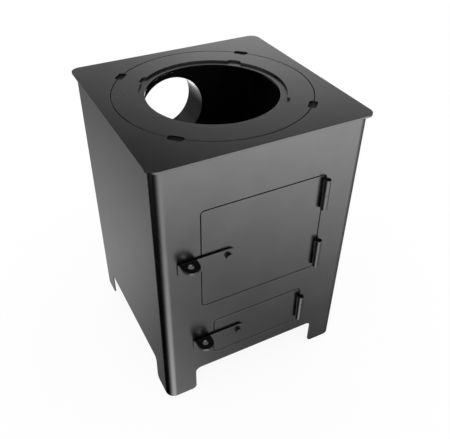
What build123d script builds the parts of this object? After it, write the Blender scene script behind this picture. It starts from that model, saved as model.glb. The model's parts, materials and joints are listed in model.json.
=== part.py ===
from build123d import *
from math import atan2, tan
import os

os.makedirs("parts", exist_ok=True)

# Free-standing sheet-steel stove for cooking outdoors. Millimetres, +Z up. The origin is on the ground, in the
# middle of the four feet. The doors face -Y and hang on the +X side, and the flue leaves through the back.

# Casing
casing_width = 435.0
casing_depth = 435.0
casing_height = 600.0
sheet = 3.0
bend_radius = 20.0
back_panel_width = 260.0
foot_width = 67.5
foot_height = 67.5
foot_arch_radius = 12.0
foot_toe_radius = 10.0

# Top plate, and the ledge under it that carries the hob ring
plate_overhang = 7.5
plate_thickness = 4.0
plate_corner_radius = 20.0
hob_margin = 17.5
plate_ledge_thickness = 4.0
plate_ledge_reach_in = 14.0
plate_ledge_reach_out = 10.0

# Lift-off hob ring, and the ledge under its inner edge
ring_gap = 2.0
ring_width = 50.75
ring_ledge_thickness = 4.0
ring_ledge_reach_in = 13.75
ring_ledge_reach_out = 15.75
ledge_sides = 8
lift_slot_length = 30.0
lift_slot_width = 17.0
lift_notch_length = 28.0
lift_notch_depth = 7.0
slot_corner_cut = 4.0
slot_count = 4

# Flue outlet
flue_diameter = 160.0
flue_wall = 2.0
flue_length = 75.0
flue_drop = 135.0
flue_weld_leg = 3.0
weld_gap = 0.2

# Doors, flush in the front wall, and the frames that they close on
upper_door_width = 263.0
upper_door_height = 235.0
upper_door_bottom = 259.0
lower_door_width = 209.5
lower_door_height = 99.5
lower_door_bottom = 101.5
door_gap = 2.0
door_corner_radius = 7.5
stop_thickness = 3.0
stop_weld_width = 8.0
stop_lap = 5.0
strike_lap = 16.0

# Weld-on barrel hinges that the doors lift off from
hinge_length = 70.0
hinge_diameter = 14.0
hinge_stand_off = 0.2
hinge_split = 0.4
hinge_inset = 7.0
lower_hinge_drop = 3.0
hinge_pin_diameter = 8.0
hinge_pin_reach = 22.0
hinge_pin_floor = 6.0
hinge_pin_headroom = 1.0

# Latches, the same on both doors
latch_inset = 54.0
latch_drop = 1.2
bar_reach = 104.5
bar_height = 34.0
bar_thickness = 4.0
bar_stand_off = 1.0
bar_toe_radius = 8.0
bar_bend_radius = 1.5
tab_inset = 2.5
tab_width = 36.0
tab_centre_reach = 17.5
tab_hole_diameter = 12.0
latch_pin_diameter = 8.0
latch_head_diameter = 14.5
latch_head_height = 7.0
latch_square = 5.6
latch_thread_diameter = 5.0
latch_thread_spare = 2.0
washer_diameter = 16.0
pawl_gap = 1.0
pawl_thickness = 4.0
pawl_reach = 46.0
pawl_tail = 10.0
pawl_width = 16.0
pawl_crank_start = 8.0
pawl_crank_length = 8.0
pawl_corner_cut = 3.0
nut_flats = 8.0
nut_height = 4.0

# Inside: floor, shelf, its rails and the grate
ash_floor_top = 86.0
ash_floor_thickness = 3.0
shelf_top = 231.0
shelf_thickness = 3.0
shelf_hole_width = 244.0
shelf_hole_depth = 224.0
rail_leg = 25.0
rail_thickness = 3.0
rail_length = 360.0
grate_lap = 10.0
grate_clearance = 1.0
grate_rim_thickness = 6.0
grate_body_depth = 18.0
grate_corner_cut = 6.0
grate_slot_count = 8
grate_slot_width = 11.0
grate_slot_flare = 2.0
grate_end_bar = 16.0

# Fits
running_clearance = 0.08
seat_clearance = 0.02
side_play = 0.1

# Places that several pieces share
front_face = -casing_depth / 2
back_face = casing_depth / 2
inner_width = casing_width - 2 * sheet
inner_depth = casing_depth - 2 * sheet
inner_corner_radius = bend_radius - sheet
flue_height = casing_height - flue_drop
hob_radius = min(casing_width, casing_depth) / 2 - hob_margin
ring_outer_radius = hob_radius - ring_gap
ring_inner_radius = ring_outer_radius - ring_width
seam_radius = hob_radius - ring_gap / 2
hinge_radius = hinge_diameter / 2
hinge_offset = hinge_radius + hinge_stand_off
latch_pin_radius = latch_pin_diameter / 2
bar_front = bar_stand_off + bar_thickness

# Distances behind the front face at which the pawl, its finger and the nut begin, and at which the pin ends
pawl_start = sheet + side_play
finger_start = sheet + stop_thickness + pawl_gap
nut_start = pawl_start + pawl_thickness
thread_end = nut_start + nut_height + latch_thread_spare


def save(node, shape):
    # One file for each named piece, or for each set of like pieces.
    export_step(shape, f"parts/{node}.step")


def upright(outline, proud, thickness):
    # A flat piece parallel to the front wall. The outline is drawn in x and height, and its front face stands
    # so far proud of the casing's front.
    plane = Plane(origin=(0, front_face - proud, 0), x_dir=(1, 0, 0), z_dir=(0, -1, 0))
    return extrude(plane * outline, -thickness)


def flat(outline, top, thickness):
    # A level piece, with its upper face at the given height.
    return extrude(Pos(0, 0, top - thickness) * outline, thickness)


def box_between(low, high):
    # A block from its lowest corner to its highest.
    size = [b - a for a, b in zip(low, high)]
    middle = [(a + b) / 2 for a, b in zip(low, high)]
    return Pos(*middle) * Box(*size)


class Door:
    # One door with the places of its opening, its hinges and its latch.

    def __init__(self, width, height, bottom):
        self.width = width
        self.height = height
        self.bottom = bottom
        self.top = bottom + height
        self.middle = bottom + height / 2
        self.free_edge = -width / 2
        self.hinge_x = width / 2 + door_gap / 2
        self.pivot_x = self.free_edge + latch_inset
        self.pivot_z = self.middle - latch_drop

    def outline(self, margin):
        # The door's outline, grown by a margin on every side.
        return Pos(0, self.middle) * RectangleRounded(
            self.width + 2 * margin, self.height + 2 * margin, door_corner_radius + margin
        )

    def pivot(self, shape):
        # The same flat outline, moved to the latch's pivot.
        return Pos(self.pivot_x, self.pivot_z) * shape


upper = Door(upper_door_width, upper_door_height, upper_door_bottom)
lower = Door(lower_door_width, lower_door_height, lower_door_bottom)


# Casing: feet, walls and openings
def foot_arch(span):
    # The space between two feet: round upper corners, and the feet's inner toes rounded off.
    arch = Pos(0, foot_height / 2) * Rectangle(span, foot_height)
    arch = fillet(arch.vertices().group_by(Axis.Y)[-1], foot_arch_radius)
    for side in (-1, 1):
        toe = Pos(side * (span + foot_toe_radius) / 2, foot_toe_radius / 2) * Rectangle(
            foot_toe_radius, foot_toe_radius
        )
        toe -= Pos(side * (span / 2 + foot_toe_radius), foot_toe_radius) * Circle(foot_toe_radius)
        arch += toe
    return arch


def make_casing_wrap():
    outside = RectangleRounded(casing_width, casing_depth, bend_radius)
    inside = RectangleRounded(inner_width, inner_depth, inner_corner_radius)
    wrap = flat(outside - inside, casing_height, casing_height)
    half = back_panel_width / 2
    wrap -= box_between((-half, back_face - 2 * sheet, 0), (half, back_face + sheet, casing_height))
    wrap -= upright(foot_arch(casing_width - 2 * foot_width), sheet, casing_depth + 2 * sheet)
    side_arch = extrude(
        Plane(origin=(-casing_width, 0, 0), x_dir=(0, 1, 0), z_dir=(1, 0, 0))
        * foot_arch(casing_depth - 2 * foot_width),
        2 * casing_width,
    )
    wrap -= side_arch
    for door in (upper, lower):
        wrap -= upright(door.outline(door_gap), sheet, 3 * sheet)
    return wrap


def make_back_panel():
    height = casing_height - foot_height
    outline = Pos(0, foot_height + height / 2) * Rectangle(back_panel_width, height)
    outline -= Pos(0, flue_height) * Circle(flue_diameter / 2 + weld_gap)
    return upright(outline, -(casing_depth - sheet), sheet)


def make_flue_collar():
    # A tube from the inner face of the back panel outwards, with its weld against the panel.
    outer = flue_diameter / 2
    outline = Pos(0, flue_height) * (Circle(outer) - Circle(outer - flue_wall))
    tube = upright(outline, -(casing_depth - sheet), flue_length + sheet)
    weld = Cone(outer + flue_weld_leg, outer, flue_weld_leg) - Cylinder(outer - flue_wall / 2, flue_weld_leg)
    weld_plane = Plane(
        origin=(0, back_face + flue_weld_leg / 2, flue_height), x_dir=(1, 0, 0), z_dir=(0, 1, 0)
    )
    return tube + weld_plane * weld


# Top plate and hob
def around_seam(shape, radius):
    # Copies of a flat shape on the plate's diagonals, at one radius.
    return [
        Rot(0, 0, 45 + step * 360 / slot_count) * Pos(radius, 0) * shape for step in range(slot_count)
    ]


def clipped_rectangle(width, height, corner_cut):
    # A rectangle with its corners cut off straight.
    shape = Rectangle(width, height)
    return chamfer(shape.vertices(), corner_cut)


def lift_slots():
    return around_seam(clipped_rectangle(lift_slot_width, lift_slot_length, slot_corner_cut), seam_radius)


def lift_notches():
    return around_seam(
        clipped_rectangle(2 * lift_notch_depth, lift_notch_length, slot_corner_cut), ring_inner_radius
    )


def make_top_plate():
    outline = RectangleRounded(
        casing_width + 2 * plate_overhang, casing_depth + 2 * plate_overhang, plate_corner_radius
    )
    outline -= Circle(hob_radius)
    for slot in lift_slots():
        outline -= slot
    return flat(outline, casing_height + plate_thickness, plate_thickness)


def make_ledge(reach, hole_radius, thickness):
    # Straight cuts outside, with flats along the casing's walls, and a round hole.
    blank = RegularPolygon(reach, ledge_sides, major_radius=False, rotation=180 / ledge_sides)
    return flat(blank - Circle(hole_radius), casing_height, thickness)


def make_plate_ledge():
    reach = hob_radius + plate_ledge_reach_out
    return make_ledge(reach, hob_radius - plate_ledge_reach_in, plate_ledge_thickness)


def make_hob_ring():
    outline = Circle(ring_outer_radius) - Circle(ring_inner_radius)
    for gap in lift_slots() + lift_notches():
        outline -= gap
    return flat(outline, casing_height + plate_thickness, plate_thickness)


def make_ring_ledge():
    reach = ring_inner_radius + ring_ledge_reach_out
    return make_ledge(reach, ring_inner_radius - ring_ledge_reach_in, ring_ledge_thickness)


# Doors, stops and hinges
def make_door(door):
    outline = door.outline(0) - door.pivot(Circle(latch_pin_radius + running_clearance))
    return upright(outline, 0, sheet)


def make_door_stop(door):
    # A frame behind the opening. It is wider on the free side, where the latch pawl catches behind it.
    left = door.free_edge - door_gap + strike_lap
    right = door.width / 2 + door_gap - stop_lap
    window_height = door.height + 2 * door_gap - 2 * stop_lap
    margin = door_gap + stop_weld_width
    frame = Pos(0, door.middle) * Rectangle(door.width + 2 * margin, door.height + 2 * margin)
    frame -= Pos((left + right) / 2, door.middle) * Rectangle(right - left, window_height)
    return upright(frame, -sheet, stop_thickness)


def hinge_bar(door, radius, low, high):
    # A round bar on the hinge's axis, for a barrel, its bore or its pin.
    return Pos(door.hinge_x, front_face - hinge_offset, (low + high) / 2) * Cylinder(radius, high - low)


def make_hinges(door, bottoms):
    # Barrels on the casing, barrels on the door and pins, for the hinges that start at the given heights.
    casing_side = []
    door_side = []
    pins = []
    pin_radius = hinge_pin_diameter / 2
    for bottom in bottoms:
        split = bottom + hinge_length / 2
        pin_low = bottom + hinge_pin_floor
        pin_high = split + hinge_pin_reach
        lower_half = hinge_bar(door, hinge_radius, bottom, split - hinge_split / 2)
        lower_half -= hinge_bar(door, pin_radius + seat_clearance, pin_low, split)
        upper_half = hinge_bar(door, hinge_radius, split + hinge_split / 2, bottom + hinge_length)
        upper_half -= hinge_bar(door, pin_radius + running_clearance, split, pin_high + hinge_pin_headroom)
        casing_side.append(lower_half)
        door_side.append(upper_half)
        pins.append(hinge_bar(door, pin_radius, pin_low, pin_high))
    return casing_side, door_side, pins


# Latches
def make_latch_bar(door):
    # A strip with its top edge bent outwards into a handle tab that has a round end.
    half = bar_height / 2
    body = Pos(-bar_reach / 2, 0) * Rectangle(bar_reach, bar_height)
    toe = body.vertices().group_by(Axis.X)[0].sort_by(Axis.Y)[0]
    body = fillet(toe, bar_toe_radius) + Circle(half)
    body -= Circle(latch_pin_radius + seat_clearance)
    bar = upright(door.pivot(body), bar_front, bar_thickness)

    tab_left = door.pivot_x - bar_reach + tab_inset
    tab_right = tab_left + tab_width
    tab_centre = (tab_left + tab_right) / 2
    top = door.pivot_z + half
    outer_bend = bar_bend_radius + bar_thickness
    leg_foot = top - bar_thickness - outer_bend
    tip = tab_centre_reach + tab_width / 2
    corners = [
        (bar_stand_off, leg_foot),
        (bar_front, leg_foot),
        (bar_front, top - bar_thickness),
        (tip, top - bar_thickness),
        (tip, top),
        (bar_stand_off, top),
    ]
    section = make_face(Polyline(*corners, close=True))
    inner_corner = section.vertices().sort_by_distance((bar_front, top - bar_thickness))[0]
    section = fillet(inner_corner, bar_bend_radius)
    outer_corner = section.vertices().sort_by_distance((bar_stand_off, top))[0]
    section = fillet(outer_corner, outer_bend)
    section_plane = Plane(origin=(tab_right, front_face, 0), x_dir=(0, -1, 0), z_dir=(-1, 0, 0))
    tab = extrude(section_plane * section, tab_width)

    centre_y = front_face - tab_centre_reach
    plan = Pos(tab_centre, centre_y) * Circle(tab_width / 2)
    plan += Pos(tab_centre, front_face - tab_centre_reach / 2) * Rectangle(tab_width, tab_centre_reach)
    plan -= Pos(tab_centre, centre_y) * Circle(tab_hole_diameter / 2)
    tab &= flat(plan, top, top - leg_foot)
    bar -= box_between((tab_left, front_face - bar_front, leg_foot), (tab_right, front_face, top))
    return bar + tab


def make_latch_pin(door):
    # Round head, round shank through the bar and the door, square end in the pawl and a thread for the nut.
    head_front = bar_front + latch_head_height
    head = upright(door.pivot(Circle(latch_head_diameter / 2)), head_front, latch_head_height)
    shank = upright(door.pivot(Circle(latch_pin_radius)), bar_front, bar_front + pawl_start)
    square = upright(door.pivot(Rectangle(latch_square, latch_square)), -pawl_start, pawl_thickness)
    thread = upright(door.pivot(Circle(latch_thread_diameter / 2)), -nut_start, thread_end - nut_start)
    return head + shank + square + thread


def make_washer(door):
    ring = Circle(washer_diameter / 2) - Circle(latch_pin_radius + running_clearance)
    return upright(door.pivot(ring), bar_stand_off, bar_stand_off - side_play)


def make_pawl(door):
    # A flat strip with a crank in it, so that its finger reaches behind the stop. It points up while the handle
    # is level, and catches behind the stop when the handle hangs down.
    crank_end = pawl_crank_start + pawl_crank_length
    slope = atan2(finger_start - pawl_start, pawl_crank_length)
    shift = pawl_thickness / 2 * tan(slope / 2)
    section = Polyline(
        (-pawl_start, -pawl_tail),
        (-pawl_start, pawl_crank_start + shift),
        (-finger_start, crank_end + shift),
        (-finger_start, pawl_reach),
        (-finger_start - pawl_thickness, pawl_reach),
        (-finger_start - pawl_thickness, crank_end - shift),
        (-nut_start, pawl_crank_start - shift),
        (-nut_start, -pawl_tail),
        close=True,
    )
    side = Plane(
        origin=(door.pivot_x - pawl_width / 2, front_face, door.pivot_z), x_dir=(0, -1, 0), z_dir=(-1, 0, 0)
    )
    strip = extrude(side * make_face(section), -pawl_width)
    outline = Pos(0, (pawl_reach - pawl_tail) / 2) * clipped_rectangle(
        pawl_width, pawl_reach + pawl_tail, pawl_corner_cut
    )
    hole = latch_square + 2 * seat_clearance
    outline -= Rectangle(hole, hole)
    return strip & upright(door.pivot(outline), 0, thread_end)


def make_nut(door):
    outline = RegularPolygon(nut_flats / 2, 6, major_radius=False)
    outline -= Circle(latch_thread_diameter / 2 + seat_clearance)
    return upright(door.pivot(outline), -nut_start, nut_height)


# Inside
def inside_outline():
    # The casing's inside, less a thin gap where a plate is welded in, with corners cut to clear the bends.
    return clipped_rectangle(inner_width - 2 * weld_gap, inner_depth - 2 * weld_gap, inner_corner_radius)


def make_ash_floor():
    return flat(inside_outline(), ash_floor_top, ash_floor_thickness)


def make_grate_shelf():
    outline = inside_outline() - Rectangle(shelf_hole_width, shelf_hole_depth)
    return flat(outline, shelf_top, shelf_thickness)


def make_shelf_rails():
    # Two angles along the side walls, flush under the shelf.
    rails = []
    top = shelf_top - shelf_thickness
    wall = inner_width / 2
    half = rail_length / 2
    for side in (-1, 1):
        x_wall = sorted((side * wall, side * (wall - rail_thickness)))
        x_leg = sorted((side * wall, side * (wall - rail_leg)))
        rail = box_between((x_wall[0], -half, top - rail_leg), (x_wall[1], half, top))
        rail += box_between((x_leg[0], -half, top - rail_thickness), (x_leg[1], half, top))
        rails.append(rail)
    return rails


def make_grate():
    # A rim that lies on the shelf, and a deep body in its hole with two rows of slots that widen downwards.
    rim = clipped_rectangle(
        shelf_hole_width + 2 * grate_lap, shelf_hole_depth + 2 * grate_lap, grate_corner_cut
    )
    body_width = shelf_hole_width - 2 * grate_clearance
    body_depth = shelf_hole_depth - 2 * grate_clearance
    top = shelf_top + grate_rim_thickness
    bottom = shelf_top - grate_body_depth
    grate = flat(rim, top, grate_rim_thickness)
    grate += flat(Rectangle(body_width, body_depth), shelf_top, grate_body_depth)
    pitch = (body_width - 2 * grate_end_bar - grate_slot_width) / (grate_slot_count - 1)
    slot_length = (body_depth - 3 * grate_end_bar) / 2
    upper_half = grate_slot_width / 2
    lower_half = upper_half + grate_slot_flare
    section = make_face(
        Polyline((-lower_half, bottom), (lower_half, bottom), (upper_half, top), (-upper_half, top), close=True)
    )
    for row in (-1, 1):
        row_start = row * (slot_length + grate_end_bar) / 2 - slot_length / 2
        plane = Plane(origin=(0, row_start, 0), x_dir=(1, 0, 0), z_dir=(0, -1, 0))
        slot = extrude(plane * section, -slot_length)
        for step in range(grate_slot_count):
            grate -= Pos((step - (grate_slot_count - 1) / 2) * pitch, 0, 0) * slot
    return grate


save("casing_wrap", make_casing_wrap())
save("back_panel", make_back_panel())
save("flue_collar", make_flue_collar())
save("top_plate", make_top_plate())
save("plate_ledge", make_plate_ledge())
save("hob_ring", make_hob_ring())
save("ring_ledge", make_ring_ledge())
save("ash_floor", make_ash_floor())
save("grate_shelf", make_grate_shelf())
save("shelf_rails", Compound(children=make_shelf_rails()))
save("grate", make_grate())

upper_hinge_bottoms = [upper.bottom + hinge_inset, upper.top - hinge_inset - hinge_length]
lower_hinge_bottoms = [lower.middle - lower_hinge_drop - hinge_length / 2]

for name, door, hinge_bottoms in (
    ("upper", upper, upper_hinge_bottoms),
    ("lower", lower, lower_hinge_bottoms),
):
    casing_side, door_side, pins = make_hinges(door, hinge_bottoms)
    save(f"{name}_door", make_door(door))
    save(f"{name}_door_stop", make_door_stop(door))
    save(f"{name}_hinge_casing_knuckles", Compound(children=casing_side))
    save(f"{name}_hinge_door_knuckles", Compound(children=door_side))
    save(f"{name}_hinge_pins", Compound(children=pins))
    save(f"{name}_latch_bar", make_latch_bar(door))
    save(f"{name}_latch_pin", make_latch_pin(door))
    save(f"{name}_latch_washer", make_washer(door))
    save(f"{name}_latch_pawl", make_pawl(door))
    save(f"{name}_latch_nut", make_nut(door))
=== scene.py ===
import json
import math
import bmesh
import bpy
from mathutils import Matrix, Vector


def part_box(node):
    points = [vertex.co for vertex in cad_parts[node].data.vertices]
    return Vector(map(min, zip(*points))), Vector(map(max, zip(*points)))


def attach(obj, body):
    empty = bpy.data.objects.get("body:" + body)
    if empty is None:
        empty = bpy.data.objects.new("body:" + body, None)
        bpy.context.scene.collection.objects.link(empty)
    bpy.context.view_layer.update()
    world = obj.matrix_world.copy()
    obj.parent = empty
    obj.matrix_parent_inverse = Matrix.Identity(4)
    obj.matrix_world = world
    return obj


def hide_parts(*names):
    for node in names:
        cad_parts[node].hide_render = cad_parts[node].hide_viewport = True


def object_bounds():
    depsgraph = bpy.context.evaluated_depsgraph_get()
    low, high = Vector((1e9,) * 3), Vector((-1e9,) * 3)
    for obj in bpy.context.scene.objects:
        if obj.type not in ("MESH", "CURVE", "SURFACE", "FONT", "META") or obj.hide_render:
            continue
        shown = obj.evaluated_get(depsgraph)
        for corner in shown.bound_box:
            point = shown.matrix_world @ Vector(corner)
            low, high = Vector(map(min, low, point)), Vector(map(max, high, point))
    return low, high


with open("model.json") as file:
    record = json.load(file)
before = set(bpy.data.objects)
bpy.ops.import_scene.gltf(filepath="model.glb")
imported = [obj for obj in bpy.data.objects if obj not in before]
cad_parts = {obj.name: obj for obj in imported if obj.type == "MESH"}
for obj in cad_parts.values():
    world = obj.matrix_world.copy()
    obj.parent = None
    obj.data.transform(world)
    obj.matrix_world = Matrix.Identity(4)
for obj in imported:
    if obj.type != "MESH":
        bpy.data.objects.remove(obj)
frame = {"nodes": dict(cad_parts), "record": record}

# Free-standing sheet-steel stove for cooking outdoors. Metres, +Z up, the doors face -Y.
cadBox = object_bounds()
nodes = frame["nodes"]
record = frame["record"]
bodyOf = {node: body for body, members in record["behaviour"]["bodies"].items() for node in members}
mm = 0.001
print("stage: frame loaded,", len(nodes), "nodes")


def deselectAll():
    if bpy.context.mode != "OBJECT":
        bpy.ops.object.mode_set(mode="OBJECT")
    bpy.ops.object.select_all(action="DESELECT")


def pickUp(piece):
    # Makes one piece the only one that the next operators act on
    deselectAll()
    piece.select_set(True)
    bpy.context.view_layer.objects.active = piece


def applyModifier(piece, kind, settings):
    pickUp(piece)
    modifier = piece.modifiers.new(kind.title(), kind)
    for name, value in settings.items():
        setattr(modifier, name, value)
    bpy.ops.object.modifier_apply(modifier=modifier.name)


def hexColour(code):
    # sRGB hex to the linear values that a shader takes
    channels = []
    for start in (0, 2, 4):
        value = int(code[start:start + 2], 16) / 255
        channels.append(value / 12.92 if value <= 0.04045 else ((value + 0.055) / 1.055) ** 2.4)
    return (*channels, 1.0)


def addNode(tree, kind, settings=None, inputs=None):
    # One shader node with its settings, and its inputs set or linked
    node = tree.nodes.new(kind)
    for name, value in (settings or {}).items():
        setattr(node, name, value)
    for name, value in (inputs or {}).items():
        if isinstance(value, bpy.types.NodeSocket):
            tree.links.new(value, node.inputs[name])
        else:
            node.inputs[name].default_value = value
    return node


def addMath(tree, operation, *values):
    return addNode(tree, "ShaderNodeMath", {"operation": operation}, dict(enumerate(values))).outputs[0]


# Camera: the photographed view, worked out from the edges of the top plate and the casing
camera = {
    "place": (-0.4583, -0.9172, 1.0862),
    "forward": (0.3518, 0.6993, -0.6223),
    "lens": 44.83,
    "sensor": 36.0,
    "clipStart": 10 * mm,
    "imageWidth": 450.0,
    "imageHeight": 439.0,
    "centreX": 213.99,   # where the lens axis meets the picture, in its pixels
    "centreY": 222.21,
}


def makeCamera():
    data = bpy.data.cameras.new("photoCamera")
    data.sensor_width = camera["sensor"]
    data.lens = camera["lens"]
    data.shift_x = 0.5 - camera["centreX"] / camera["imageWidth"]
    data.shift_y = (camera["centreY"] - camera["imageHeight"] / 2) / camera["imageWidth"]
    data.clip_start = camera["clipStart"]
    cameraObject = bpy.data.objects.new("photoCamera", data)
    bpy.context.scene.collection.objects.link(cameraObject)
    cameraObject.location = camera["place"]
    cameraObject.rotation_euler = Vector(camera["forward"]).to_track_quat("-Z", "Y").to_euler()
    bpy.context.scene.camera = cameraObject


makeCamera()
print("stage: camera placed")

# Studio: a pale floor, and for the satin coat to mirror, soft lights with black between them. Lists are
# (degrees, brightness), and where a light has two they are multiplied. Azimuth 0 is +X, and 90 is +Y,
# behind the stove.
studio = {
    "floorSize": 8.0,
    "floorColour": "f4f4f4",
    "floorShade": 0.12,       # how much of the floor's white is light that a shadow can take away
    "floorWhite": 1.04,       # keeps the floor all but white where nothing shades it
    "lightColour": "ffffff",
    "fill": 0.8,              # plain light on matt surfaces
    "rampTop": 4.0,           # the brightest that a list may hold
    "front": {                # broad, in front
        "byElevation": ((-90, 0.0), (-52, 0.0), (-49, 0.05), (-45, 0.2), (-41, 0.65), (-35, 1.3), (-31, 1.9),
                        (-27, 2.8), (-18, 2.6), (0, 1.2), (18, 1.2), (26, 0.3), (32, 0.0), (90, 0.0)),
        "byAzimuth": ((-180, 0.0), (-155, 0.0), (-145, 0.1), (-135, 0.25), (-125, 0.55), (-110, 0.9),
                      (-98, 1.0), (-47, 1.0), (-42, 0.75), (-35, 0.5), (-25, 0.3), (-10, 0.1), (30, 0.0),
                      (180, 0.0)),
    },
    "back": {                 # broad, behind
        "byElevation": ((-90, 0.0), (-60, 0.3), (-50, 0.65), (-45, 1.05), (-41, 1.3), (-34, 1.0), (-25, 0.6),
                        (0, 0.8), (14, 1.5), (20, 1.3), (22, 0.95), (26, 0.4), (30, 0.15), (35, 0.0),
                        (90, 0.0)),
        "byAzimuth": ((-180, 0.0), (0, 0.1), (30, 0.5), (60, 1.0), (65, 0.95), (70, 0.6), (76, 0.4),
                      (90, 0.45), (103, 0.57), (109, 0.54), (115, 0.15), (130, 0.0), (180, 0.0)),
    },
    "lamps": (
        {"azimuth": 252, "elevation": -62,      # low in front: the front's tone near the feet
         "byAngle": ((0, 3.4), (8, 2.9), (14, 2.0), (20, 1.0), (25, 0.3), (32, 0.0))},
        {"azimuth": 70, "elevation": -32,       # low behind: the flue's inner wall
         "byAngle": ((0, 4.0), (10, 3.9), (15, 1.4), (20, 0.0))},
        {"azimuth": 0, "elevation": -90,        # straight below: rims that face down
         "byAngle": ((0, 1.7), (9, 1.5), (14, 0.5), (18, 0.0))},
        {"azimuth": 0, "elevation": 90,         # straight above: the top, seen from overhead
         "byAngle": ((0, 0.9), (10, 0.8), (20, 0.4), (28, 0.0))},
        {"azimuth": 180, "elevation": 45,       # high on the left
         "byAngle": ((0, 1.0), (25, 0.9), (38, 0.5), (47, 0.0))},
        {"azimuth": 172, "elevation": -10,      # low on the left
         "byAngle": ((0, 0.8), (12, 0.7), (19, 0.3), (24, 0.0))},
    ),
    "level": {                # all round the horizon but for the back left, by the angle up or down from it
        "byAngle": ((0, 0.7), (8, 0.6), (18, 0.0)),
        "byAzimuth": ((-180, 1.0), (70, 1.0), (95, 0.05), (128, 0.05), (145, 0.8), (180, 1.0)),
    },
}


def makeFloor():
    deselectAll()
    bpy.ops.mesh.primitive_plane_add(size=studio["floorSize"], location=(0, 0, 0))
    floor = bpy.context.object
    floor.name = "studioFloor"
    floor.visible_glossy = False
    material = bpy.data.materials.new("Pale studio floor")
    material.use_nodes = True
    tree = material.node_tree
    tree.nodes.clear()
    ray = addNode(tree, "ShaderNodeLightPath")
    matt = addNode(tree, "ShaderNodeBsdfDiffuse", inputs={"Color": hexColour(studio["floorColour"])})
    white = addNode(tree, "ShaderNodeEmission", inputs={
        "Color": hexColour(studio["lightColour"]), "Strength": studio["floorWhite"]})
    share = addMath(tree, "MULTIPLY", ray.outputs["Is Camera Ray"], 1 - studio["floorShade"])
    mix = addNode(tree, "ShaderNodeMixShader", inputs={0: share, 1: matt.outputs[0], 2: white.outputs[0]})
    addNode(tree, "ShaderNodeOutputMaterial", inputs={"Surface": mix.outputs[0]})
    floor.data.materials.append(material)


def addRamp(tree, place, stops):
    # A grey ramp through (place, brightness) stops; the places run from 0 to 1
    node = addNode(tree, "ShaderNodeValToRGB", inputs={"Fac": place})
    elements = node.color_ramp.elements
    while len(elements) < len(stops):
        elements.new(1.0)
    for element, (where, brightness) in zip(elements, stops):
        element.position = where
        grey = brightness / studio["rampTop"]
        element.color = (grey, grey, grey, 1)
    return addMath(tree, "MULTIPLY", node.outputs["Color"], studio["rampTop"])


def addLamp(tree, direction, lamp):
    # A round soft light, that fades with the angle from its middle
    level = math.cos(math.radians(lamp["elevation"]))
    middle = (
        level * math.cos(math.radians(lamp["azimuth"])),
        level * math.sin(math.radians(lamp["azimuth"])),
        math.sin(math.radians(lamp["elevation"])),
    )
    towards = addNode(tree, "ShaderNodeVectorMath", {"operation": "DOT_PRODUCT"},
                      {0: direction, 1: middle}).outputs["Value"]
    away = addMath(tree, "MULTIPLY", addMath(tree, "ARCCOSINE", towards), 1 / math.pi)
    return addRamp(tree, away, [(angle / 180, value) for angle, value in lamp["byAngle"]])


def makeWorld():
    world = bpy.data.worlds.new("Soft studio")
    world.use_nodes = True
    bpy.context.scene.world = world
    tree = world.node_tree
    tree.nodes.clear()
    direction = addNode(tree, "ShaderNodeTexCoord").outputs["Generated"]
    axes = addNode(tree, "ShaderNodeSeparateXYZ", inputs={0: direction})
    slope = addMath(tree, "ARCSINE", axes.outputs["Z"])
    heading = addMath(tree, "ARCTAN2", axes.outputs["Y"], axes.outputs["X"])

    # rise runs from 0 straight down to 1 straight up, turn from 0 to 1 once round from -X, and offLevel
    # is 0 at the horizon
    rise = addMath(tree, "MULTIPLY_ADD", slope, 1 / math.pi, 0.5)
    turn = addMath(tree, "MULTIPLY_ADD", heading, 0.5 / math.pi, 0.5)
    offLevel = addMath(tree, "MULTIPLY", addMath(tree, "ABSOLUTE", slope), 1 / math.pi)

    def byElevation(stops):
        return addRamp(tree, rise, [(0.5 + angle / 180, value) for angle, value in stops])

    def byAzimuth(stops):
        return addRamp(tree, turn, [(0.5 + angle / 360, value) for angle, value in stops])

    def byLevel(stops):
        return addRamp(tree, offLevel, [(angle / 180, value) for angle, value in stops])

    front = studio["front"]
    back = studio["back"]
    level = studio["level"]
    lights = [
        addMath(tree, "MULTIPLY", byElevation(front["byElevation"]), byAzimuth(front["byAzimuth"])),
        addMath(tree, "MULTIPLY", byElevation(back["byElevation"]), byAzimuth(back["byAzimuth"])),
    ]
    for lamp in studio["lamps"]:
        lights.append(addLamp(tree, direction, lamp))
    lights.append(addMath(tree, "MULTIPLY", byAzimuth(level["byAzimuth"]), byLevel(level["byAngle"])))
    light = lights[0]
    for another in lights[1:]:
        light = addMath(tree, "ADD", light, another)

    ray = addNode(tree, "ShaderNodeLightPath")
    colour = hexColour(studio["lightColour"])
    plain = addNode(tree, "ShaderNodeBackground", inputs={"Color": colour, "Strength": studio["fill"]})
    white = addNode(tree, "ShaderNodeBackground", inputs={"Color": colour, "Strength": 1.0})
    mirrored = addNode(tree, "ShaderNodeBackground", inputs={"Color": colour, "Strength": light})
    indirect = addNode(tree, "ShaderNodeMixShader", inputs={
        0: ray.outputs["Is Glossy Ray"], 1: plain.outputs[0], 2: mirrored.outputs[0]})
    seen = addNode(tree, "ShaderNodeMixShader", inputs={
        0: ray.outputs["Is Camera Ray"], 1: indirect.outputs[0], 2: white.outputs[0]})
    addNode(tree, "ShaderNodeOutputWorld", inputs={"Surface": seen.outputs[0]})


makeFloor()
makeWorld()
bpy.context.scene.view_settings.view_transform = "Standard"
print("stage: studio lit")

# Finishes. Each pair of colours and of roughnesses runs from the dark of a finish's clouds to the light.

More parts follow.
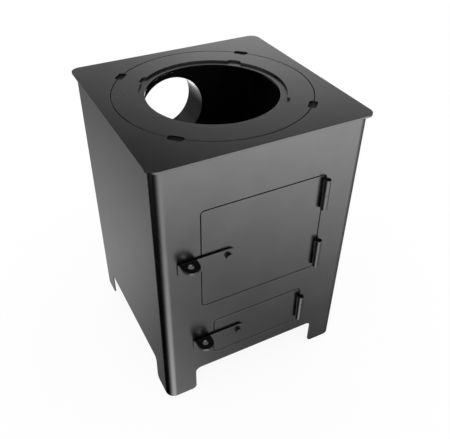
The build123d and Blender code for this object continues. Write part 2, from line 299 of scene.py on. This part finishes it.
# Heat-resistant satin black with graphite in it, sprayed on and baked: dark grey and smooth where it mirrors
# light and black where it doesn't, with clouds of slightly higher and lower gloss from the spray passes
satinCoat = {
    "name": "Satin black heat-resistant graphite coat, sprayed",
    "colours": ("5e5e5f", "626262"),
    "metallic": 1.0,
    "roughness": (0.262, 0.274),
    "cloudSize": 70 * mm,
    "grainSize": 1.6 * mm,      # orange peel, drawn a little coarser than it is, so that it shows
    "grainDepth": 0.004 * mm,
}

# Hot-rolled sheet left bare on the inside: blue-black mill scale, dull and blotchy, that hardly mirrors.
# Its colours are darker than the scale's own, as painted shade, so that the casing's inside, the slots
# and the seam round the ring, and the door gaps come out black
millScaleAndPaintedShade = {
    "name": "Hot-rolled sheet steel with mill scale",
    "colours": ("0d0d0f", "17181a"),
    "metallic": 0.2,
    "roughness": (0.5, 0.68),
    "cloudSize": 22 * mm,
    "grainSize": 0.9 * mm,
    "grainDepth": 0.02 * mm,
}

# Zinc-plated turned and stamped small parts: pale bluish grey with a soft sheen
zincPlate = {
    "name": "Zinc-plated steel, turned and stamped",
    "colours": ("8d9096", "a3a6ab"),
    "metallic": 1.0,
    "roughness": (0.3, 0.42),
    "cloudSize": 4 * mm,
    "grainSize": 0.5 * mm,
    "grainDepth": 0.004 * mm,
}

# Weld metal left bare inside: brownish grey, with a dull skin from the heat
weldMetal = {
    "name": "Steel weld metal, laid by wire torch",
    "colours": ("3d3936", "5f5a55"),
    "metallic": 0.8,
    "roughness": (0.38, 0.6),
    "cloudSize": 5 * mm,
    "grainSize": 0.6 * mm,
    "grainDepth": 0.03 * mm,
}

# Grey iron cast in sand: nearly black, with the sand's grain all over it
castIron = {
    "name": "Grey cast iron, sand cast",
    "colours": ("242424", "333231"),
    "metallic": 0.6,
    "roughness": (0.55, 0.75),
    "cloudSize": 12 * mm,
    "grainSize": 1.4 * mm,
    "grainDepth": 0.12 * mm,
}

# The coat ends at the casing's outer face, and the inside is left bare, in mill scale darkened as painted
# shade
casingCoat = {
    "name": "Satin black coat outside, bare mill scale inside",
    "plateOverhang": 7.5 * mm,    # how far the top plate stands past the casing
    "cornerRadius": 20 * mm,
    "wall": 3 * mm,
}

# The noise that draws a finish's clouds and its grain
noise = {
    "cloudDetail": 3.0,
    "cloudRoughness": 0.55,
    "darkest": 0.3,             # where the noise is lower than this, a cloud is all dark
    "lightest": 0.7,
    "grainDetail": 2.0,
}


def addGrain(tree, place, finish):
    # Blotches from 0 to 1, and a fine bump of the finish's own grain
    clouds = addNode(tree, "ShaderNodeTexNoise", inputs={
        "Vector": place, "Scale": 1 / finish["cloudSize"], "Detail": noise["cloudDetail"],
        "Roughness": noise["cloudRoughness"]}).outputs["Fac"]
    spread = addNode(tree, "ShaderNodeMapRange", inputs={
        "Value": clouds, "From Min": noise["darkest"], "From Max": noise["lightest"]}).outputs["Result"]
    grain = addNode(tree, "ShaderNodeTexNoise", inputs={
        "Vector": place, "Scale": 1 / finish["grainSize"], "Detail": noise["grainDetail"]}).outputs["Fac"]
    return spread, grain


def addFinish(tree, place, finish):
    # Colour, roughness and height of one finish. A Mix node takes its two colours at sockets 6 and 7.
    blotch, grain = addGrain(tree, place, finish)
    dark, light = finish["colours"]
    colour = addNode(tree, "ShaderNodeMix", {"data_type": "RGBA"}, {
        0: blotch, 6: hexColour(dark), 7: hexColour(light)}).outputs[2]
    low, high = finish["roughness"]
    roughness = addMath(tree, "MULTIPLY_ADD", blotch, high - low, low)
    height = addMath(tree, "MULTIPLY", grain, finish["grainDepth"])
    return colour, roughness, height


def addInsideMask(tree, place):
    # 1 inside the casing's wall and 0 on its outer face, by the distance to the rounded square core. Where it
    # is 1 goes the mill scale that is darkened as painted shade
    core = cadBox[1].x - casingCoat["plateOverhang"] - casingCoat["cornerRadius"]
    level = addNode(tree, "ShaderNodeVectorMath", {"operation": "MULTIPLY"},
                    {0: place, 1: (1, 1, 0)}).outputs[0]
    folded = addNode(tree, "ShaderNodeVectorMath", {"operation": "ABSOLUTE"}, {0: level}).outputs[0]
    beyond = addNode(tree, "ShaderNodeVectorMath", {"operation": "SUBTRACT"},
                     {0: folded, 1: (core, core, 0)}).outputs[0]
    outer = addNode(tree, "ShaderNodeVectorMath", {"operation": "MAXIMUM"},
                    {0: beyond, 1: (0, 0, 0)}).outputs[0]
    distance = addNode(tree, "ShaderNodeVectorMath", {"operation": "LENGTH"}, {0: outer}).outputs["Value"]
    return addMath(tree, "LESS_THAN", distance, casingCoat["cornerRadius"] - casingCoat["wall"] / 2)


def makeMaterial(name, finish, inside=None):
    # A finish all over, or one outside and another inside the casing
    material = bpy.data.materials.new(name)
    material.use_nodes = True
    tree = material.node_tree
    tree.nodes.clear()
    place = addNode(tree, "ShaderNodeTexCoord").outputs["Object"]
    colour, roughness, height = addFinish(tree, place, finish)
    metallic = finish["metallic"]
    if inside:
        mask = addInsideMask(tree, place)
        innerColour, innerRoughness, innerHeight = addFinish(tree, place, inside)
        colour = addNode(tree, "ShaderNodeMix", {"data_type": "RGBA"}, {
            0: mask, 6: colour, 7: innerColour}).outputs[2]
        roughness = addNode(tree, "ShaderNodeMix", inputs={
            0: mask, 2: roughness, 3: innerRoughness}).outputs[0]
        height = addNode(tree, "ShaderNodeMix", inputs={0: mask, 2: height, 3: innerHeight}).outputs[0]
        metallic = addMath(tree, "MULTIPLY_ADD", mask, inside["metallic"] - metallic, metallic)
    bump = addNode(tree, "ShaderNodeBump", inputs={"Height": height, "Distance": 1.0, "Strength": 1.0})
    shader = addNode(tree, "ShaderNodeBsdfPrincipled", inputs={
        "Base Color": colour, "Metallic": metallic, "Roughness": roughness, "Normal": bump.outputs[0]})
    addNode(tree, "ShaderNodeOutputMaterial", inputs={"Surface": shader.outputs[0]})
    return material


coatMaterial = makeMaterial(satinCoat["name"], satinCoat)
# mill scale darkened as painted shade, for the inside and for what shows through the gaps
scaleAndShadeMaterial = makeMaterial(millScaleAndPaintedShade["name"], millScaleAndPaintedShade)
zincMaterial = makeMaterial(zincPlate["name"], zincPlate)
ironMaterial = makeMaterial(castIron["name"], castIron)
weldMaterial = makeMaterial(weldMetal["name"], weldMetal)
# the coat outside, and inside the mill scale darkened as painted shade
casingMaterial = makeMaterial(casingCoat["name"], satinCoat, inside=millScaleAndPaintedShade)
print("stage: finishes mixed")

# Pieces whose sharp edges are broken: the same shapes as cut, turned or cast, with outer edges rounded
brokenEdges = {
    "casing": {"nodes": ("casing_wrap", "back_panel"), "edge": 0.65 * mm, "material": casingMaterial},
    "hob": {"nodes": ("top_plate", "hob_ring", "ring_ledge"), "edge": 0.35 * mm, "material": coatMaterial},
    "flue": {"nodes": ("flue_collar",), "edge": 0.4 * mm, "material": coatMaterial},
    "doors": {"nodes": ("upper_door", "lower_door"), "edge": 0.7 * mm, "material": coatMaterial},
    "hinges": {
        "nodes": ("upper_hinge_casing_knuckles", "lower_hinge_casing_knuckles",
                  "upper_hinge_door_knuckles", "lower_hinge_door_knuckles"),
        "edge": 0.5 * mm, "material": coatMaterial,
    },
    "latches": {"nodes": ("upper_latch_bar", "lower_latch_bar"), "edge": 0.6 * mm, "material": coatMaterial},
    "pins": {"nodes": ("upper_latch_pin", "lower_latch_pin"), "edge": 0.4 * mm, "material": coatMaterial},
    "pawls": {"nodes": ("upper_latch_pawl", "lower_latch_pawl"), "edge": 0.4 * mm, "material": zincMaterial},
    "nuts": {"nodes": ("upper_latch_nut", "lower_latch_nut"), "edge": 0.4 * mm, "material": zincMaterial},
    # The door stops, the plate's ledge and the shelf rails take mill scale darkened as painted shade, which
    # shows black in the door gaps, the slots and the seam round the ring
    "stops": {"nodes": ("upper_door_stop", "lower_door_stop"), "edge": 0.5 * mm, "material": scaleAndShadeMaterial},
    "ledge": {"nodes": ("plate_ledge",), "edge": 0.3 * mm, "material": scaleAndShadeMaterial},
    "rails": {"nodes": ("shelf_rails",), "edge": 0.6 * mm, "material": scaleAndShadeMaterial},
    "grate": {"nodes": ("grate",), "edge": 1.2 * mm, "material": ironMaterial},
}
rounding = {
    "merge": 0.0005 * mm,
    "flatAngle": math.radians(0.2),     # faces closer than this to one plane become one face
    "sharpAngle": math.radians(40),
    "segments": 3,
}


def markOuterEdges(mesh):
    # Marks the sharp edges that stand out, so that inner corners stay as they are
    shape = bmesh.new()
    shape.from_mesh(mesh)
    weights = shape.edges.layers.float.new("bevel_weight_edge")
    for edge in shape.edges:
        if edge.is_convex and edge.calc_face_angle(0) > rounding["sharpAngle"]:
            edge[weights] = 1.0
    shape.to_mesh(mesh)
    shape.free()


def roundEdges(name, edge, material):
    # A copy of a node with its edges rounded, which then stands for the node
    piece = bpy.data.objects.new(name + "_finished", nodes[name].data.copy())
    bpy.context.scene.collection.objects.link(piece)
    pickUp(piece)
    bpy.ops.object.mode_set(mode="EDIT")
    bpy.ops.mesh.select_all(action="SELECT")
    bpy.ops.mesh.remove_doubles(threshold=rounding["merge"])
    bpy.ops.mesh.dissolve_limited(angle_limit=rounding["flatAngle"])
    bpy.ops.object.mode_set(mode="OBJECT")
    markOuterEdges(piece.data)
    applyModifier(piece, "BEVEL", {
        "width": edge, "segments": rounding["segments"], "limit_method": "WEIGHT",
        "use_clamp_overlap": False})
    bpy.ops.object.shade_smooth_by_angle(angle=rounding["sharpAngle"])
    applyModifier(piece, "WEIGHTED_NORMAL", {"keep_sharp": True})
    piece.data.materials.clear()
    piece.data.materials.append(material)
    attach(piece, bodyOf[name])
    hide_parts(name)


for group in brokenEdges.values():
    for name in group["nodes"]:
        roundEdges(name, group["edge"], group["material"])
print("stage: edges rounded")

# Welds: rippled beads from a wire-fed torch, laid in the corners where plates meet. The outer ones are
# sprayed over, and the ones inside stay bare.
weld = {
    "ripple": 2.4 * mm,           # one forward step of the torch
    "shares": (0.3, 0.35, 0.35),  # of a ripple: up, over and down
    "swell": 1.1,                 # how much thicker a ripple is than the notch beside it
    "sides": 10,                  # of a bead's section
    "merge": 0.02 * mm,           # joins each ripple to the next
    "endFacing": 0.9,             # a face that looks this much along the bead is its end
    "crown": ((0.25, 0.35), (0.3, 0.2)),    # two steps at an end, (inwards, outwards), by the radius
    "standOff": 0.35,             # from a plate to the middle of the flue's bead or a short weld, by radius
    "flueRadius": 2.3 * mm,       # the bead round the flue
    "flueMerge": 0.05 * mm,       # joins that bead's two ends
    "seamRadius": 2.4 * mm,       # the butt welds down the back
    "seamRise": 0.45,             # their thickness by their width
    "seamEnd": 1.5 * mm,          # from the panel's ends to theirs, not counting the crowns
    "hingeRadius": 1.1 * mm,      # the beads behind the barrels
    "hingeRipple": 1.2 * mm,
    "hingeStandOff": 0.5,         # from the front face to the middle of such a bead, by its radius
    "hingeSide": 4.6 * mm,        # from the hinge's axis to its weld
    "hingeEnd": 3.0 * mm,         # from the half barrel's ends to the bead's, not counting the crowns
    "decimals": 5,                # metres to a hundredth of a millimetre
    "stitch": 24 * mm,            # a short weld
    "stitchRadius": 1.6 * mm,
    "wallSpots": (-0.62, 0.0, 0.62),        # along a wall, from its middle, by half its length
    "stopSpots": (0.22, 0.78),              # along a door stop's side, by its length
    "ledgeSides": 8,              # straight sides of a ledge, with one spot on each
}
stitchRise = weld["stitchRadius"] * weld["standOff"]


def makeBead(name, length, radius, ripple):
    # A straight bead along X with open ends: one ripple, repeated
    count = max(2, round(length / ripple))
    step = length / count
    swell = weld["swell"]
    deselectAll()
    bpy.ops.mesh.primitive_circle_add(
        vertices=weld["sides"], radius=radius / swell, rotation=(0, math.pi / 2, 0))
    bead = bpy.context.object
    bead.name = name
    bpy.ops.object.transform_apply(location=False, rotation=True, scale=False)
    bpy.ops.object.mode_set(mode="EDIT")
    bpy.ops.mesh.select_all(action="SELECT")
    for share, growth in zip(weld["shares"], (swell, 1.0, 1 / swell)):
        bpy.ops.mesh.extrude_region_move(TRANSFORM_OT_translate={"value": (step * share, 0, 0)})
        bpy.ops.transform.resize(value=(1, growth, growth), center_override=(0, 0, 0))
    bpy.ops.object.mode_set(mode="OBJECT")
    applyModifier(bead, "ARRAY", {
        "count": count, "use_relative_offset": False, "use_constant_offset": True,
        "constant_offset_displace": (step, 0, 0), "use_merge_vertices": True,
        "merge_threshold": weld["merge"]})
    return bead


def roundEnds(bead, radius):
    # Closes both ends of a bead and crowns them
    bpy.ops.object.mode_set(mode="EDIT")
    bpy.ops.mesh.select_mode(type="EDGE")
    bpy.ops.mesh.select_all(action="DESELECT")
    bpy.ops.mesh.select_non_manifold()
    bpy.ops.mesh.fill_holes(sides=0)
    bpy.ops.mesh.select_mode(type="FACE")
    bpy.ops.object.mode_set(mode="OBJECT")
    for face in bead.data.polygons:
        face.select = abs(face.normal.x) > weld["endFacing"]
    bpy.ops.object.mode_set(mode="EDIT")
    bpy.ops.mesh.normals_make_consistent(inside=False)
    for inwards, outwards in weld["crown"]:
        bpy.ops.mesh.inset(thickness=radius * inwards, depth=radius * outwards)
    bpy.ops.mesh.select_all(action="SELECT")
    bpy.ops.mesh.normals_make_consistent(inside=False)
    bpy.ops.object.mode_set(mode="OBJECT")


def putAt(piece, where, turn=(0, 0, 0), size=(1, 1, 1)):
    pickUp(piece)
    piece.location = where
    piece.rotation_euler = turn
    piece.scale = size
    bpy.ops.object.transform_apply(location=True, rotation=True, scale=True)


def finishPiece(piece, node, material):
    # Smooth, with its material, on the same body as the node that it belongs to
    pickUp(piece)
    bpy.ops.object.shade_smooth()
    piece.data.materials.clear()
    piece.data.materials.append(material)
    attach(piece, bodyOf[node])


def joinPieces(pieces, name):
    deselectAll()
    for piece in pieces:
        piece.select_set(True)
    bpy.context.view_layer.objects.active = pieces[0]
    if len(pieces) > 1:
        bpy.ops.object.join()
    pieces[0].name = name
    return pieces[0]


def copyPiece(piece):
    copy = bpy.data.objects.new(piece.name + "Copy", piece.data.copy())
    bpy.context.scene.collection.objects.link(copy)
    return copy


def weldFlue():
    # One bead all round the flue collar, outside
    low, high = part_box("flue_collar")
    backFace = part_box("back_panel")[1].y
    tube = (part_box("flue_collar")[1].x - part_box("flue_collar")[0].x) / 2
    bead = makeBead("flue_weld", 2 * math.pi * tube, weld["flueRadius"], weld["ripple"])
    applyModifier(bead, "SIMPLE_DEFORM", {"deform_method": "BEND", "deform_axis": "Z", "angle": 2 * math.pi})
    bpy.ops.object.mode_set(mode="EDIT")
    bpy.ops.mesh.select_all(action="SELECT")
    bpy.ops.mesh.remove_doubles(threshold=weld["flueMerge"])
    bpy.ops.mesh.normals_make_consistent(inside=False)
    bpy.ops.object.mode_set(mode="OBJECT")
    bpy.ops.object.origin_set(type="ORIGIN_GEOMETRY", center="BOUNDS")
    stand = backFace + weld["flueRadius"] * weld["standOff"]
    size = (tube - weld["flueRadius"]) / tube
    putAt(bead, (0, stand, (low.z + high.z) / 2), (math.pi / 2, 0, 0), (size, size, 1))
    finishPiece(bead, "flue_collar", coatMaterial)


def weldBack():
    # Butt welds down both edges of the back panel
    low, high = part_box("back_panel")
    length = high.z - low.z - 2 * weld["seamEnd"]
    for side, edge in (("left", low.x), ("right", high.x)):
        bead = makeBead("back_seam_" + side, length, weld["seamRadius"], weld["ripple"])
        roundEnds(bead, weld["seamRadius"])
        foot = (edge, high.y, low.z + weld["seamEnd"])
        putAt(bead, foot, (0, -math.pi / 2, 0), (1, weld["seamRise"], 1))
        finishPiece(bead, "back_panel", coatMaterial)


def weldHinges():
    # A bead behind each barrel: on the casing's side for the lower halves, on the door's for the upper ones
    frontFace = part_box("casing_wrap")[0].y
    radius = weld["hingeRadius"]
    for node, side in (("upper_hinge_casing_knuckles", 1), ("lower_hinge_casing_knuckles", 1),
                       ("upper_hinge_door_knuckles", -1), ("lower_hinge_door_knuckles", -1)):
        low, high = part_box(node)
        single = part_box(node.replace("upper", "lower"))     # the lower door has one hinge, the upper one two
        half = single[1].z - single[0].z
        starts = {round(start, weld["decimals"]) for start in (low.z, high.z - half)}
        beads = []
        for start in sorted(starts):
            bead = makeBead(node + "_weld", half - 2 * weld["hingeEnd"], radius, weld["hingeRipple"])
            roundEnds(bead, radius)
            foot = ((low.x + high.x) / 2 + side * weld["hingeSide"],
                    frontFace - radius * weld["hingeStandOff"], start + weld["hingeEnd"])
            putAt(bead, foot, (0, -math.pi / 2, 0))
            beads.append(bead)
        finishPiece(joinPieces(beads, node + "_weld"), node, coatMaterial)


def makeStitch():
    # A short weld, centred, that the others are copied from
    stitch = makeBead("stitch", weld["stitch"], weld["stitchRadius"], weld["ripple"])
    roundEnds(stitch, weld["stitchRadius"])
    putAt(stitch, (-weld["stitch"] / 2, 0, 0))
    return stitch


def stitchUp(name, node, spots):
    # Copies of the short weld at (x, y, z, turn about Z), where a turn of None stands it upright
    stitches = []
    for x, y, z, turn in spots:
        stitch = copyPiece(stitchBead)
        putAt(stitch, (x, y, z), (0, math.pi / 2, 0) if turn is None else (0, 0, turn))
        stitches.append(stitch)
    finishPiece(joinPieces(stitches, name), node, weldMaterial)


def alongWalls(node, height, walls):
    # Three spots along each named wall, in the corner between the wall and a plate's face at that height
    low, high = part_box(node)
    middle = (low + high) / 2
    spots = []
    for share in weld["wallSpots"]:
        for wall in walls:
            if wall in ("left", "right"):
                x = low.x if wall == "left" else high.x
                spots.append((x, middle.y + share * (high.y - low.y) / 2, height, math.pi / 2))
            else:
                y = low.y if wall == "front" else high.y
                spots.append((middle.x + share * (high.x - low.x) / 2, y, height, 0))
    return spots


def aroundLedge(node):
    # One spot in the middle of each straight side of a ledge, just under the plate that it is welded to
    low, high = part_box(node)
    reach = (high.x - low.x) / 2
    spots = []
    for side in range(weld["ledgeSides"]):
        angle = side * 2 * math.pi / weld["ledgeSides"]
        x = reach * math.cos(angle)
        y = reach * math.sin(angle)
        spots.append((x, y, high.z - stitchRise, angle + math.pi / 2))
    return spots


def aroundStop(node):
    # Two upright spots on each side of a door stop, and two level ones above and below
    low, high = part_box(node)
    wall = low.y + stitchRise
    spots = []
    for share in weld["stopSpots"]:
        z = low.z + share * (high.z - low.z)
        x = low.x + share * (high.x - low.x)
        spots += [(low.x, wall, z, None), (high.x, wall, z, None), (x, wall, low.z, 0), (x, wall, high.z, 0)]
    return spots


allWalls = ("left", "right", "front", "back")
weldFlue()
weldBack()
weldHinges()
stitchBead = makeStitch()
stitchUp("ring_ledge_welds", "ring_ledge", aroundLedge("ring_ledge"))
stitchUp("plate_ledge_welds", "plate_ledge", aroundLedge("plate_ledge"))
stitchUp("ash_floor_welds", "ash_floor",
         alongWalls("ash_floor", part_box("ash_floor")[1].z + stitchRise, allWalls))
stitchUp("shelf_welds", "grate_shelf",
         alongWalls("grate_shelf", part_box("grate_shelf")[1].z + stitchRise, allWalls))
stitchUp("rail_welds", "shelf_rails",
         alongWalls("shelf_rails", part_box("shelf_rails")[0].z - stitchRise, ("left", "right")))
stitchUp("upper_stop_welds", "upper_door_stop", aroundStop("upper_door_stop"))
stitchUp("lower_stop_welds", "lower_door_stop", aroundStop("lower_door_stop"))
bpy.data.objects.remove(stitchBead)
print("stage: welds laid")

# Threads on the ends of the latch pins, past their nuts
thread = {
    "pitch": 0.8 * mm,
    "radius": 2.7 * mm,
    "endRadius": 0.9 * mm,
}


def cutThread(pin, nut):
    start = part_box(nut)[1].y
    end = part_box(pin)[1].y
    middle = (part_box(nut)[0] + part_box(nut)[1]) / 2
    ridges = makeBead(pin + "_thread", end - start, thread["radius"], thread["pitch"])
    roundEnds(ridges, thread["endRadius"])
    putAt(ridges, (middle.x, start, middle.z), (0, 0, math.pi / 2))
    finishPiece(ridges, pin, zincMaterial)


cutThread("upper_latch_pin", "upper_latch_nut")
cutThread("lower_latch_pin", "lower_latch_nut")
print("stage: threads cut")

# Thin plates and small turned parts that keep the mesh they came with
plainNodes = {
    # the ash floor and the grate shelf, inside, in mill scale darkened as painted shade
    "ash_floor": scaleAndShadeMaterial,
    "grate_shelf": scaleAndShadeMaterial,
    "upper_hinge_pins": zincMaterial,
    "lower_hinge_pins": zincMaterial,
    "upper_latch_washer": zincMaterial,
    "lower_latch_washer": zincMaterial,
}
for name, material in plainNodes.items():
    nodes[name].data.materials.clear()
    nodes[name].data.materials.append(material)
print("stage: materials set")
